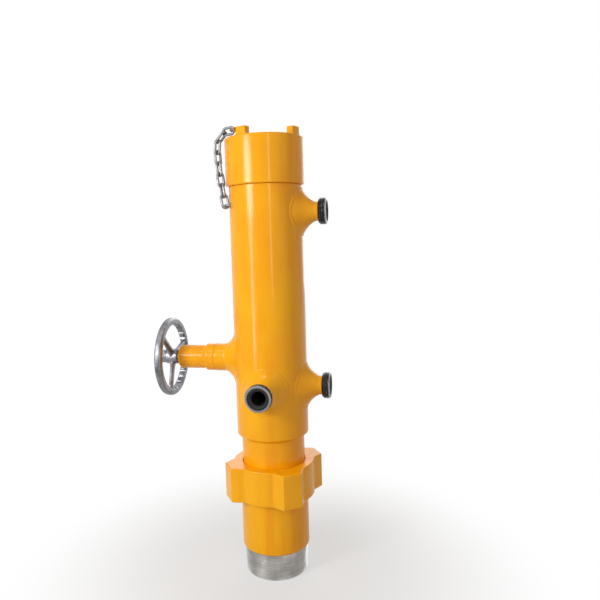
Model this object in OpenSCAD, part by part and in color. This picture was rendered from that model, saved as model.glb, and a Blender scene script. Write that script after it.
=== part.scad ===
// Cementing head for 9 5/8 inch casing: plug container with a screwed cap,
// three hammer-union outlets, a hand-operated stop pin and a wing-nut quick union.
// Millimetres. Origin at the middle of the casing nipple's lower end, Z up.
// Azimuths are counted from -Y towards +X.

/* [Casing nipple] */
// Outside diameter of the casing nipple
nipple_od = 244.5; // [200:0.5:300]
// Wall of the casing nipple
nipple_wall = 14.25; // [10:0.25:18]
// Length of the nipple below the union sub
nipple_len = 103; // [80:1:160]
// Length of the nipple inside the union sub
nipple_engage = 108; // [70:1:130]
// Height of the bevel at the nipple's lower end
nipple_bevel = 7; // [3:0.5:12]

/* [Quick union] */
// Wall of the union sub round the nipple
sub_wall = 7.25; // [6:0.25:16]
// Length of the union sub below the wing nut
sub_len = 202; // [150:1:260]
// Chamfer of the union sub's lower edge
sub_chamfer = 5; // [2:0.5:6]
// Height of the wing nut
nut_h = 131; // [110:1:170]
// Wall of the wing nut between its lugs
nut_wall = 26.5; // [18:0.5:34]
// Height of a nut lug above the nut
nut_lug_h = 32; // [25:1:60]
// Width of a nut lug across its outer face
nut_lug_tip_w = 72; // [60:1:110]
// Width of a nut lug where it meets the nut
nut_lug_root_w = 124; // [90:1:150]
// Chamfer of a nut lug's corners
nut_lug_edge = 4; // [2:0.5:10]
// Azimuth of the first nut lug
nut_lug_az = 33; // [0:1:89]
// Thickness of the nut's inward lip over the neck flange
nut_lip = 34; // [20:1:50]
// Height of the neck flange
flange_h = 28; // [18:1:40]
// Wall of the neck
neck_wall = 11.5; // [9:0.5:15]
// Height of the neck between the nut and the body
neck_len = 105; // [70:1:180]

/* [Container] */
// Step from the union's bore out to the container's
chamber_step = 2.5; // [0.5:0.5:6]
// Wall of the container body
body_wall = 26; // [18:0.5:34]
// Length of the container body below the cap
body_len = 936; // [700:1:1100]
// Chamfer of the body's lower corner
body_chamfer = 7; // [2:0.5:12]
// Step from the body in to its threaded end inside the cap
stub_step = 7.5; // [5:0.5:12]
// Length of the body's threaded end
stub_len = 104; // [70:1:115]

/* [Cap] */
// Wall of the cap round the body's threaded end
cap_wall = 17; // [12:0.5:26]
// Height of the cap
cap_h = 172; // [150:1:210]
// Chamfer of the cap's edges
cap_chamfer = 3; // [1:0.5:6]
// Width of a cap lug
lug_w = 43; // [34:1:60]
// Thickness of a cap lug along the radius
lug_t = 26; // [18:1:34]
// Height of a cap lug
lug_h = 28; // [26:1:50]
// Azimuth of the first cap lug
lug_az = 67; // [30:1:80]

/* [Outlets] */
// Height of the lower outlets above the body's lower end
low_outlet_rise = 188; // [140:1:240]
// Distance of the upper outlet below the cap
high_outlet_drop = 99; // [94:1:300]
// Bore of the outlets
outlet_bore_d = 50.8; // [40:0.2:56]
// Outside diameter of an outlet's neck
outlet_neck_od = 71; // [66:1:80]
// Diameter of an outlet boss where it meets the body
outlet_base_d = 164; // [120:1:170]
// Height of an outlet boss's cone above the body
outlet_cone_h = 50; // [36:1:60]
// Length of an outlet's neck past its cone
outlet_neck_len = 11; // [5:1:40]
// Outside diameter of the union end
union_od = 98; // [92:1:116]
// Length of the union end
union_len = 30; // [24:1:50]
// Outside diameter of the seal ring
seal_od = 74; // [66:1:80]
// Depth of the seal ring's seat
seal_depth = 17; // [10:1:18]
// Chamfer of the union end's outer edge
union_edge = 4; // [1:0.5:6]
// Slope at the back of the union end
union_back = 7; // [3:0.5:10]

/* [Stop pin] */
// Height of the stop pin above the body's lower end
pin_rise = 292; // [262:1:380]
// Diameter of the stop pin
pin_d = 50; // [40:1:56]
// Reach of the stop pin past the axis
pin_past = 2; // [0:1:20]
// Diameter of the stem
stem_d = 32; // [24:1:36]
// Diameter of the pin boss where it meets the body
pin_base_d = 182; // [140:1:190]
// Outside diameter of the pin boss and the gland collar
pin_boss_od = 106; // [96:1:118]
// Height of the pin boss's flare above the body
pin_flare_h = 36; // [24:1:44]
// Length of the pin boss past its flare
pin_boss_len = 42; // [30:1:70]
// Length of the gland collar
collar_len = 42; // [28:1:56]
// Outside diameter of the stem bonnet
bonnet_od = 90; // [80:1:96]
// Length of the stem bonnet
bonnet_len = 108; // [100:1:140]
// Rounding of the bonnet's outer end
bonnet_round = 14; // [6:1:20]
// End wall of the bonnet, which holds the stem's thread
bonnet_wall = 34; // [20:1:44]

/* [Handwheel] */
// Outside diameter of the handwheel
wheel_od = 305; // [250:1:360]
// Width of the rim along the radius
rim_w = 27; // [20:1:34]
// Thickness of the rim along the stem
rim_t = 27; // [20:1:34]
// Rounding of the rim's corners
rim_round = 8; // [4:0.5:10]
// Number of finger scallops round the rim's inside
scallops = 27; // [18:1:36]
// Radius of a finger scallop
scallop_r = 9; // [5:0.5:11]
// Depth of a finger scallop
scallop_depth = 6; // [2:0.5:8]
// Diameter of the hub
hub_d = 58; // [48:1:70]
// Length of the hub
hub_len = 46; // [34:1:60]
// Gap between the bonnet and the hub
hub_gap = 9; // [6:1:30]
// Distance of the rim's middle outwards from the hub's middle
dish = 4; // [0:1:12]
// Width of a spoke at the hub
spoke_w = 30; // [22:1:36]
// Width of a spoke at the rim
spoke_tip_w = 22; // [16:1:30]
// Thickness of a spoke
spoke_t = 15; // [10:1:20]
// Turn of the first spoke from the top towards the front
spoke_turn = 45; // [0:1:119]
// Width of the hub nut across its flats
hub_nut_af = 46; // [36:1:50]

/* [Chain] */
// Wire of the chain links and eyes
wire_d = 9.5; // [7:0.5:11]
// Inside length of a link
link_in = 40; // [34:1:46]
// Outside width of a link
link_out_w = 33; // [32:1:37]
// Reach of the cap eye from its lug
eye_reach = 25; // [20:1:30]
// Half the spread of an eye's legs
eye_r = 13; // [12:0.5:15]

/* [Hidden] */
$fn = 96;
// Gap at a thread or a welded seat
seat = 0.15;
// Radial clearance of a running fit
run = 0.05;
// Gap of a free thread
thread_gap = 0.3;

// Heights, from the bottom up
z_sub = nipple_len;
z_socket = z_sub + nipple_engage;
z_nut = z_sub + sub_len;
z_nut_top = z_nut + nut_h;
z_lip = z_nut_top - nut_lip;
z_face = z_lip - flange_h;
z_body = z_nut_top + neck_len;
z_cap = z_body + body_len;
z_stub = z_cap + stub_len;
z_cap_top = z_cap + cap_h;
z_low = z_body + low_outlet_rise;
z_high = z_cap - high_outlet_drop;
z_pin = z_body + pin_rise;

// Diameters, from the nipple outwards
bore_d = nipple_od - 2 * nipple_wall;
sub_od = nipple_od + 2 * sub_wall;
thread_relief = 1;
union_thread_od = sub_od - 2 * thread_relief;
nut_od = union_thread_od + 2 * nut_wall;
nut_lug_reach = nut_od / 2 + nut_lug_h;
neck_od = bore_d + 2 * neck_wall;
chamber_d = bore_d + 2 * chamber_step;
body_od = chamber_d + 2 * body_wall;
stub_od = body_od - 2 * stub_step;
cap_od = stub_od + 2 * cap_wall;

// Radii
bore_r = bore_d / 2;
body_r = body_od / 2;
cap_r = cap_od / 2;
thread_r = union_thread_od / 2;
box_r = nipple_od / 2 - 1;
pin_r = pin_d / 2;
stem_r = stem_d / 2;

// Distances from the axis along an outlet
outlet_neck_x = body_r + outlet_cone_h;
outlet_union_x = outlet_neck_x + outlet_neck_len;
outlet_face_x = outlet_union_x + union_len;

// Distances from the axis along the stop pin
pin_neck_x = body_r + pin_flare_h;
collar_x = pin_neck_x + pin_boss_len;
bonnet_x = collar_x + collar_len;
bonnet_end_x = bonnet_x + bonnet_len;
hub_x = bonnet_end_x + hub_gap;
hub_end_x = hub_x + hub_len;
rim_x = hub_x + hub_len / 2 + dish;
washer_t = 5;
nut_t = 20;
stem_end_x = hub_end_x + washer_t + nut_t + 7;
stem_tip_r = stem_r - 4;
cavity_end_x = bonnet_end_x - bonnet_wall;
// The pin draws back until its tip lies inside the container's wall
pin_travel = chamber_d / 2 + pin_past + 1.5;
pin_room = 6;
pin_back_x = cavity_end_x - pin_travel - pin_room;

// Local +Z laid along an azimuth at a height
module toward(az, z) {
    translate([0, 0, z])
        rotate([90, 0, az])
            children();
}

// Boss flare: a loft from a saddle curve on the body to a round neck.
// Its cheek is an arc that starts at one slope and ends at another, in degrees.
flare_sides = 48;
flare_rings = 5;
flare_from = 36;
flare_to = 74;
// Upright toe at the foot, and how far the loft runs on into the body
flare_toe = 2.5;
flare_sink = 8;
// The loft's last ring lies this far inside the neck
flare_tuck = 0.6;
function flare_slope(k) = flare_from + (flare_to - flare_from) * k / flare_rings;
function flare_in(k) = (sin(flare_slope(k)) - sin(flare_from)) / (sin(flare_to) - sin(flare_from));
function flare_up(k) = (cos(flare_from) - cos(flare_slope(k))) / (cos(flare_from) - cos(flare_to));
function saddle(x) = sqrt(body_r * body_r - x * x);
function flare_foot(r, t) = saddle(r * cos(t)) + flare_toe;
function flare_height(r, t, k, neck_r, h) =
    flare_foot(r, t) + (body_r + h - flare_foot(neck_r, t)) * flare_up(k);
function flare_point(k, t, base_r, neck_r, h) =
    let (r = base_r + (neck_r - base_r) * flare_in(k))
    [r * cos(t), r * sin(t), flare_height(r, t, k, neck_r, h)];

module saddle_flare(az, z, base_d, neck_d, flare_h) {
    n = flare_sides;
    base_r = base_d / 2;
    neck_r = neck_d / 2 - flare_tuck;
    root = [for (i = [0 : n - 1])
        let (t = i * 360 / n)
        [base_r * cos(t), base_r * sin(t), flare_foot(base_r, t) - flare_toe - flare_sink]];
    rings = [for (k = [0 : flare_rings])
        for (i = [0 : n - 1])
            flare_point(k, i * 360 / n, base_r, neck_r, flare_h)];
    ends = [[0, 0, body_r / 2], [0, 0, body_r + flare_h]];
    points = concat(ends, root, rings);
    last = 2 + n * (flare_rings + 1);
    sides = [for (j = [0 : flare_rings])
        for (i = [0 : n - 1])
            let (a = 2 + j * n + i, d = 2 + j * n + (i + 1) % n)
            each [[a, a + n, d + n], [a, d + n, d]]];
    floor_fan = [for (i = [0 : n - 1]) [0, 2 + i, 2 + (i + 1) % n]];
    top_fan = [for (i = [0 : n - 1]) [1, last + (i + 1) % n, last + i]];
    toward(az, z)
        polyhedron(points = points, faces = concat(sides, floor_fan, top_fan));
}

module outlet_boss(az, z) {
    color([0.93, 0.60, 0.05])
        difference() {
            union() {
                saddle_flare(az, z, outlet_base_d, outlet_neck_od, outlet_cone_h);
                toward(az, z)
                    cylinder(r = outlet_neck_od / 2, h = outlet_union_x);
            }
            translate([0, 0, z - outlet_base_d])
                cylinder(r = body_r + seat, h = 2 * outlet_base_d);
            toward(az, z)
                cylinder(r = outlet_bore_d / 2, h = outlet_face_x);
        }
}

// Union end with a thread body, a seat for the seal ring and broken edges
module outlet_union(az, z) {
    r = union_od / 2;
    color([0.06, 0.06, 0.065])
        toward(az, z)
            rotate_extrude()
                polygon([
                    [outlet_bore_d / 2, outlet_union_x],
                    [r - union_back, outlet_union_x],
                    [r, outlet_union_x + union_back],
                    [r, outlet_face_x - union_edge],
                    [r - union_edge, outlet_face_x],
                    [seal_od / 2, outlet_face_x],
                    [seal_od / 2, outlet_face_x - seal_depth],
                    [outlet_bore_d / 2, outlet_face_x - seal_depth]]);
}

// Rubber ring with a conical mouth
module outlet_seal(az, z) {
    r = seal_od / 2 - seat;
    color([0.03, 0.03, 0.03])
        toward(az, z)
            rotate_extrude()
                polygon([
                    [outlet_bore_d / 2, outlet_face_x - seal_depth],
                    [r, outlet_face_x - seal_depth],
                    [r, outlet_face_x - 3],
                    [r - 3, outlet_face_x - 1],
                    [outlet_bore_d / 2, outlet_face_x - seal_depth + 6]]);
}

module container_body() {
    r = chamber_d / 2;
    color([0.93, 0.60, 0.05])
        difference() {
            rotate_extrude()
                polygon([
                    [r, z_body],
                    [body_r - body_chamfer, z_body],
                    [body_r, z_body + body_chamfer],
                    [body_r, z_cap],
                    [stub_od / 2, z_cap],
                    [stub_od / 2, z_stub - 4],
                    [stub_od / 2 - 4, z_stub],
                    [r, z_stub]]);
            toward(0, z_low)
                cylinder(r = outlet_bore_d / 2, h = 2 * body_r);
            toward(90, z_low)
                cylinder(r = outlet_bore_d / 2, h = 2 * body_r);
            toward(90, z_high)
                cylinder(r = outlet_bore_d / 2, h = 2 * body_r);
            toward(-90, z_pin)
                cylinder(r = pin_r + 0.6, h = 2 * body_r);
        }
}

module top_cap() {
    r_in = stub_od / 2 + thread_gap;
    color([0.93, 0.60, 0.05])
        rotate_extrude()
            polygon([
                [0, z_stub + 6],
                [r_in, z_stub + 6],
                [r_in, z_cap],
                [cap_r - cap_chamfer, z_cap],
                [cap_r, z_cap + cap_chamfer],
                [cap_r, z_cap_top - cap_chamfer],
                [cap_r - cap_chamfer, z_cap_top],
                [0, z_cap_top]]);
}

// Lug on the cap's rim, its outer face following the cap
module cap_lug(az) {
    color([0.93, 0.60, 0.05])
        intersection() {
            translate([0, 0, z_cap_top])
                difference() {
                    cylinder(r = cap_r - cap_chamfer, h = lug_h);
                    translate([0, 0, -1])
                        cylinder(r = cap_r - cap_chamfer - lug_t, h = lug_h + 2);
                }
            rotate([0, 0, az])
                translate([-lug_w / 2, -cap_r - 10, z_cap_top])
                    cube([lug_w, cap_r + 10, lug_h]);
        }
}

// Chain: it leaves the front lug square to the lug's side and falls past the rim.
// Drop of each link below the level, counted from the cap
chain_drop = [2, 42, 84, 94, 97, 99, 101, 102];
links = len(chain_drop);
chain_az = lug_az - 90;
lug_mid_r = cap_r - cap_chamfer - lug_t / 2;
eye_z = z_cap_top + link_out_w / 2 + 3;
link_gap = 0.25;
link_r = (link_out_w - wire_d) / 2;
link_arm = (link_in + wire_d) / 2;
// Level directions: out from the lug's face, and away from the axis
out = [sin(chain_az), -cos(chain_az), 0];
go = [-cos(chain_az), -sin(chain_az), 0];
function link_dir(i) = go * cos(chain_drop[i]) - [0, 0, 1] * sin(chain_drop[i]);
function unit(v) = v / norm(v);
// Wires cross one wire apart, along the link that lies in the plane of the fall
function bite(i) = link_dir(i % 2 == 0 ? i : i - 1) * (wire_d + link_gap);
eye_wire = out * lug_mid_r + go * (lug_w / 2 + eye_reach) + [0, 0, eye_z];
function link_start(i) = i == 0
    ? eye_wire - bite(0)
    : link_end(i - 1) - bite(i);
function link_end(i) = link_start(i) + link_dir(i) * 2 * link_arm;
// The links turn little by little from the lug's direction to that of the body eye
chain_end = link_end(links - 1);
end_az = atan2(chain_end[0], -chain_end[1]);
inward = [-sin(end_az), cos(end_az), 0];
function link_az(i) = i < 2 ? chain_az : chain_az + (end_az - chain_az) * (i - 1) / (links - 2);
function square_to(v, d) = unit(v - d * (v * d));
function link_side(i) = square_to([sin(link_az(i)), -cos(link_az(i)), 0], link_dir(i));
// They lie by turns in the plane of the fall and across it
function link_flat(i) = i % 2 == 0 ? link_side(i) : cross(link_dir(i), link_side(i));
anchor = chain_end - link_dir(links - 1) * (wire_d + link_gap);

// Local X, Y, Z laid along a, cross(n, a) and n at a point
module laid(p, a, n) {
    b = cross(n, a);
    multmatrix([
        [a[0], b[0], n[0], p[0]],
        [a[1], b[1], n[1], p[1]],
        [a[2], b[2], n[2], p[2]],
        [0, 0, 0, 1]])
        children();
}

module half_ring(r) {
    rotate_extrude(angle = 180, $fn = 40)
        translate([r, 0])
            circle(d = wire_d, $fn = 24);
}

// One link lying in XY with its length along X
module chain_link() {
    arm = link_arm - link_r;
    for (s = [-1, 1]) {
        translate([s * arm, 0, 0])
            rotate([0, 0, -90 * s])
                half_ring(link_r);
        translate([-arm, s * link_r, 0])
            rotate([0, 90, 0])
                cylinder(d = wire_d, h = 2 * arm, $fn = 24);
    }
}

// U-shaped eye opening towards -X, its bow ending at the origin
module eye_bow(leg) {
    translate([-eye_r, 0, 0]) {
        rotate([0, 0, -90])
            half_ring(eye_r);
        for (s = [-1, 1])
            translate([-leg, s * eye_r, 0])
                rotate([0, 90, 0])
                    cylinder(d = wire_d, h = leg, $fn = 24);
    }
}

module cap_chain_eye() {
    color([0.72, 0.73, 0.74])
        laid(eye_wire, go, [0, 0, 1])
            eye_bow(eye_reach - eye_r);
}

module body_chain_eye() {
    color([0.72, 0.73, 0.74])
        difference() {
            laid(anchor, -inward, [0, 0, 1])
                eye_bow(body_r / 2);
            translate([0, 0, anchor[2] - 2 * wire_d])
                cylinder(r = body_r + seat, h = 4 * wire_d);
        }
}

module safety_chain() {
    color([0.72, 0.73, 0.74])
        for (i = [0 : links - 1])
            laid((link_start(i) + link_end(i)) / 2, link_dir(i), link_flat(i))
                chain_link();
}

module stop_pin_boss() {
    color([0.93, 0.60, 0.05])
        difference() {
            union() {
                saddle_flare(-90, z_pin, pin_base_d, pin_boss_od, pin_flare_h);
                toward(-90, z_pin)
                    cylinder(r = pin_boss_od / 2, h = collar_x - 2);
                toward(-90, z_pin)
                    cylinder(r = pin_boss_od / 2 - 3, h = collar_x);
            }
            translate([0, 0, z_pin - pin_base_d])
                cylinder(r = body_r + seat, h = 2 * pin_base_d);
            toward(-90, z_pin)
                cylinder(r = pin_r + run, h = bonnet_end_x);
        }
}

module gland_collar() {
    r = pin_boss_od / 2;
    color([0.93, 0.60, 0.05])
        toward(-90, z_pin)
            rotate_extrude()
                polygon([
                    [pin_r + run, collar_x],
                    [r - 3, collar_x],
                    [r - 1, collar_x + 2],
                    [r - 1, bonnet_x - 8],
                    [bonnet_od / 2 + 1, bonnet_x],
                    [pin_r + run, bonnet_x]]);
}

// Bonnet with a rounded nose, holding the stem's nut thread in its end wall
module stem_bonnet() {
    r = bonnet_od / 2;
    color([0.93, 0.60, 0.05])
        toward(-90, z_pin)
            rotate_extrude()
                difference() {
                    union() {
                        translate([0, bonnet_x])
                            square([r, bonnet_len - bonnet_round]);
                        translate([0, bonnet_x])
                            square([r - bonnet_round, bonnet_len]);
                        translate([r - bonnet_round, bonnet_end_x - bonnet_round])
                            circle(r = bonnet_round, $fn = 48);
                    }
                    translate([-1, bonnet_x - 1])
                        square([pin_r + 2, cavity_end_x - bonnet_x + 1]);
                    translate([-1, bonnet_x - 1])
                        square([stem_r + run + 1, bonnet_len + 2]);
                }
}

module stop_pin() {
    color([0.66, 0.67, 0.69])
        toward(-90, z_pin)
            rotate_extrude()
                polygon([
                    [0, -pin_past],
                    [pin_r - 6, -pin_past],
                    [pin_r, -pin_past + 8],
                    [pin_r, pin_back_x],
                    [stem_r, pin_back_x + 4],
                    [stem_r, hub_end_x],
                    [stem_tip_r, hub_end_x],
                    [stem_tip_r, stem_end_x - 2],
                    [stem_tip_r - 2, stem_end_x],
                    [0, stem_end_x]]);
}

// Rim section: a bar with rounded corners
module rim_section() {
    c = rim_round;
    translate([wheel_od / 2 - rim_w, rim_x - rim_t / 2]) {
        translate([c, 0])
            square([rim_w - 2 * c, rim_t]);
        translate([0, c])
            square([rim_w, rim_t - 2 * c]);
        for (u = [c, rim_w - c])
            for (v = [c, rim_t - c])
                translate([u, v])
                    circle(r = c, $fn = 32);
    }
}

module handwheel() {
    rim_in = wheel_od / 2 - rim_w;
    color([0.80, 0.81, 0.82])
        toward(-90, z_pin)
            difference() {
                union() {
                    difference() {
                        rotate_extrude($fn = 120)
                            rim_section();
                        for (i = [0 : scallops - 1])
                            rotate([0, 0, (i + 0.5) * 360 / scallops])
                                translate([rim_in + scallop_depth - scallop_r, 0, rim_x - rim_t])
                                    cylinder(r = scallop_r, h = 2 * rim_t, $fn = 32);
                    }
                    for (i = [0 : 2])
                        rotate([0, 0, 90 - spoke_turn - i * 120])
                            spoke(rim_in);
                    translate([0, 0, hub_x])
                        cylinder(d = hub_d, h = hub_len);
                }
                translate([0, 0, hub_x - 1])
                    cylinder(r = stem_r + run, h = hub_len + 2);
            }
}

// Spoke: tapers in width and leans outwards from the hub to the rim
module spoke(rim_in) {
    a = hub_d / 2 - 6;
    b = rim_in + 9;
    mid = hub_x + hub_len / 2;
    intersection() {
        rotate([90, 0, 0])
            linear_extrude(height = 2 * spoke_w, center = true)
                polygon([
                    [a, mid - spoke_t / 2],
                    [b, rim_x - spoke_t / 2],
                    [b, rim_x + spoke_t / 2],
                    [a, mid + spoke_t / 2]]);
        translate([0, 0, hub_x])
            linear_extrude(height = hub_len)
                polygon([
                    [a, -spoke_w / 2],
                    [b, -spoke_tip_w / 2],
                    [b, spoke_tip_w / 2],
                    [a, spoke_w / 2]]);
    }
}

module hub_washer() {
    color([0.70, 0.71, 0.72])
        toward(-90, z_pin)
            translate([0, 0, hub_end_x])
                difference() {
                    cylinder(d = hub_d - 4, h = washer_t);
                    translate([0, 0, -1])
                        cylinder(r = stem_tip_r + run, h = washer_t + 2);
                }
}

module hub_nut() {
    color([0.70, 0.71, 0.72])
        toward(-90, z_pin)
            translate([0, 0, hub_end_x + washer_t])
                difference() {
                    cylinder(r = hub_nut_af / sqrt(3), h = nut_t, $fn = 6);
                    translate([0, 0, -1])
                        cylinder(r = stem_tip_r + run, h = nut_t + 2);
                }
}

module union_neck() {
    color([0.93, 0.60, 0.05])
        rotate_extrude()
            polygon([
                [bore_r, z_face],
                [thread_r, z_face],
                [thread_r, z_lip],
                [neck_od / 2, z_lip],
                [neck_od / 2, z_body],
                [bore_r, z_body]]);
}

// Trapezoid lug of the wing nut, along +X
module nut_lug() {
    r = nut_od / 2;
    foot = sqrt(r * r - nut_lug_root_w * nut_lug_root_w / 4) - 4;
    polygon([
        [foot, -nut_lug_root_w / 2],
        [nut_lug_reach - nut_lug_edge, -nut_lug_tip_w / 2],
        [nut_lug_reach, -nut_lug_tip_w / 2 + nut_lug_edge],
        [nut_lug_reach, nut_lug_tip_w / 2 - nut_lug_edge],
        [nut_lug_reach - nut_lug_edge, nut_lug_tip_w / 2],
        [foot, nut_lug_root_w / 2]]);
}

module wing_nut() {
    color([0.93, 0.60, 0.05])
        difference() {
            translate([0, 0, z_nut])
                linear_extrude(height = nut_h)
                    union() {
                        circle(d = nut_od);
                        for (i = [0 : 3])
                            rotate(nut_lug_az - 90 + i * 90)
                                nut_lug();
                    }
            translate([0, 0, z_nut - 1])
                cylinder(r = thread_r + thread_gap, h = z_lip - z_nut + 1);
            translate([0, 0, z_nut])
                cylinder(r = neck_od / 2 + 1.5, h = nut_h + 1);
        }
}

module union_sub() {
    color([0.93, 0.60, 0.05])
        rotate_extrude()
            polygon([
                [box_r + seat, z_sub],
                [sub_od / 2 - sub_chamfer, z_sub],
                [sub_od / 2, z_sub + sub_chamfer],
                [sub_od / 2, z_nut - 2 * thread_relief],
                [thread_r, z_nut - thread_relief],
                [thread_r, z_face],
                [bore_r, z_face],
                [bore_r, z_socket],
                [box_r + seat, z_socket]]);
}

module casing_nipple() {
    color([0.62, 0.62, 0.61])
        rotate_extrude()
            polygon([
                [bore_r, 0],
                [nipple_od / 2 - nipple_bevel / 2, 0],
                [nipple_od / 2, nipple_bevel],
                [nipple_od / 2, z_sub],
                [box_r, z_sub],
                [box_r, z_socket],
                [bore_r, z_socket]]);
}

container_body();
top_cap();
cap_lug(lug_az);  // cap_lug_right
cap_lug(lug_az + 90);  // cap_lug_back
cap_lug(lug_az + 180);  // cap_lug_left
cap_lug(lug_az + 270);  // cap_lug_front
cap_chain_eye();
body_chain_eye();
safety_chain();
outlet_boss(90, z_high);  // upper_outlet_boss
outlet_union(90, z_high);  // upper_outlet_union
outlet_seal(90, z_high);  // upper_outlet_seal
outlet_boss(90, z_low);  // lower_outlet_boss
outlet_union(90, z_low);  // lower_outlet_union
outlet_seal(90, z_low);  // lower_outlet_seal
outlet_boss(0, z_low);  // front_outlet_boss
outlet_union(0, z_low);  // front_outlet_union
outlet_seal(0, z_low);  // front_outlet_seal
stop_pin_boss();
gland_collar();
stem_bonnet();
stop_pin();
handwheel();
hub_washer();
hub_nut();
union_neck();
wing_nut();
union_sub();
casing_nipple();
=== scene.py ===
"""Looks of a cementing head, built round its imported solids.

Shapes are worked in millimetres and become metres when a piece is handed over.
A section's corner is a radius, a height and, where it is rounded, a rounding.
"""
import logging
import math
from dataclasses import dataclass
from enum import Enum
from typing import Callable, Optional, Sequence, Union

import bmesh
import bpy
from bmesh.types import BMEdge, BMVert
from mathutils import Matrix, Vector


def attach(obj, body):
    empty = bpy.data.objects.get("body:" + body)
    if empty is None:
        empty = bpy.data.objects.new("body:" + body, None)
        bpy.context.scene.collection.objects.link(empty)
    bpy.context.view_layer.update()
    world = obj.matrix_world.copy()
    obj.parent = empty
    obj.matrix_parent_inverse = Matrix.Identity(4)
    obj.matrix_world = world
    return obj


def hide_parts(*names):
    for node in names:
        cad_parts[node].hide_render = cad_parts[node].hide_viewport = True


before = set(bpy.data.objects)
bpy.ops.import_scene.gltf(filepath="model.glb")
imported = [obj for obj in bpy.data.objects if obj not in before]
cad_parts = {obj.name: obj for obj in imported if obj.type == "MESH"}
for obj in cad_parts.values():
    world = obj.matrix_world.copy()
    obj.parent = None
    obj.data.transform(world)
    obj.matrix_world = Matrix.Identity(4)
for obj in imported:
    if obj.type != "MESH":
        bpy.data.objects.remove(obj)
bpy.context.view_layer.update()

LOG = logging.getLogger("cementing_head")
MM = 0.001
NEAR = 0.01
LATHE_STEPS = 160
UP = Vector((0, 0, 1))
BODY_R = 136.5
BODY_LOW = 541.0
OUTLET_BORE = 25.4
LOW_OUTLET, HIGH_OUTLET = 729.0, 1378.0
PIN_SIDE, PIN_HEIGHT = -90.0, 833.0
HUB_AT, HUB_END = 373.5, 419.5

Pair = tuple[float, float]
Triple = tuple[float, float, float]
Colour = Triple
Outline = Sequence[Sequence[float]]
Number = Union["Value", float]
WHITE: Colour = (1.0, 1.0, 1.0)


class Body(Enum):
    """Bodies of the part that a piece can ride on."""

    HEAD = "head"
    PIN = "stop_pin"
    WHEEL = "handwheel"


class Slot(Enum):
    """Material slots of the part's record."""

    ENAMEL = "yellow_enamel"
    UNION = "black_union"
    SEAL = "seal_rubber"
    ZINC = "zinc_wire"
    CHROME = "wheel_chrome"
    STEM = "stem_steel"
    THREAD = "bare_thread"


def tone(red: int, green: int, blue: int) -> Colour:
    """Turns a screen colour, from 0 to 255, into a linear one."""
    shares = (value / 255 for value in (red, green, blue))
    return tuple(s / 12.92 if s <= 0.04045 else ((s + 0.055) / 1.055) ** 2.4 for s in shares)


def reach(p: Vector) -> float:
    """Gives a point's distance from the upright axis."""
    return math.hypot(p.x, p.y)


def turn(degrees: float, axis: str = "Z") -> Matrix:
    """Gives a turn about an axis."""
    return Matrix.Rotation(math.radians(degrees), 4, axis)


def level(azimuth: float) -> Vector:
    """Gives the level direction of an azimuth, which counts from the front towards the right."""
    return Vector((math.sin(math.radians(azimuth)), -math.cos(math.radians(azimuth)), 0))


def toward(azimuth: float, height: float) -> Matrix:
    """Gives the place of a side branch, with local Z along the branch and local Y upwards."""
    return Matrix.Translation((0, 0, height)) @ turn(azimuth) @ turn(90, "X")


def laid(at: Vector, along: Vector, normal: Vector) -> Matrix:
    """Gives the place of a bent wire, with local X along it and local Z square to its plane."""
    axes = Matrix((along, normal.cross(along), normal)).transposed()
    return Matrix.Translation(at) @ axes.to_4x4()


def only(kind: type, geometry: Sequence) -> list:
    """Picks the points or the edges out of mixed geometry."""
    return [g for g in geometry if isinstance(g, kind)]


def linked(name: str, data: bpy.types.ID) -> bpy.types.Object:
    """Puts a new object in the scene.

    Args:
        name: Name of the object.
        data: Its mesh, lamp or camera.

    Returns:
        The object.
    """
    made = bpy.data.objects.new(name, data)
    bpy.context.scene.collection.objects.link(made)
    return made


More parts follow.
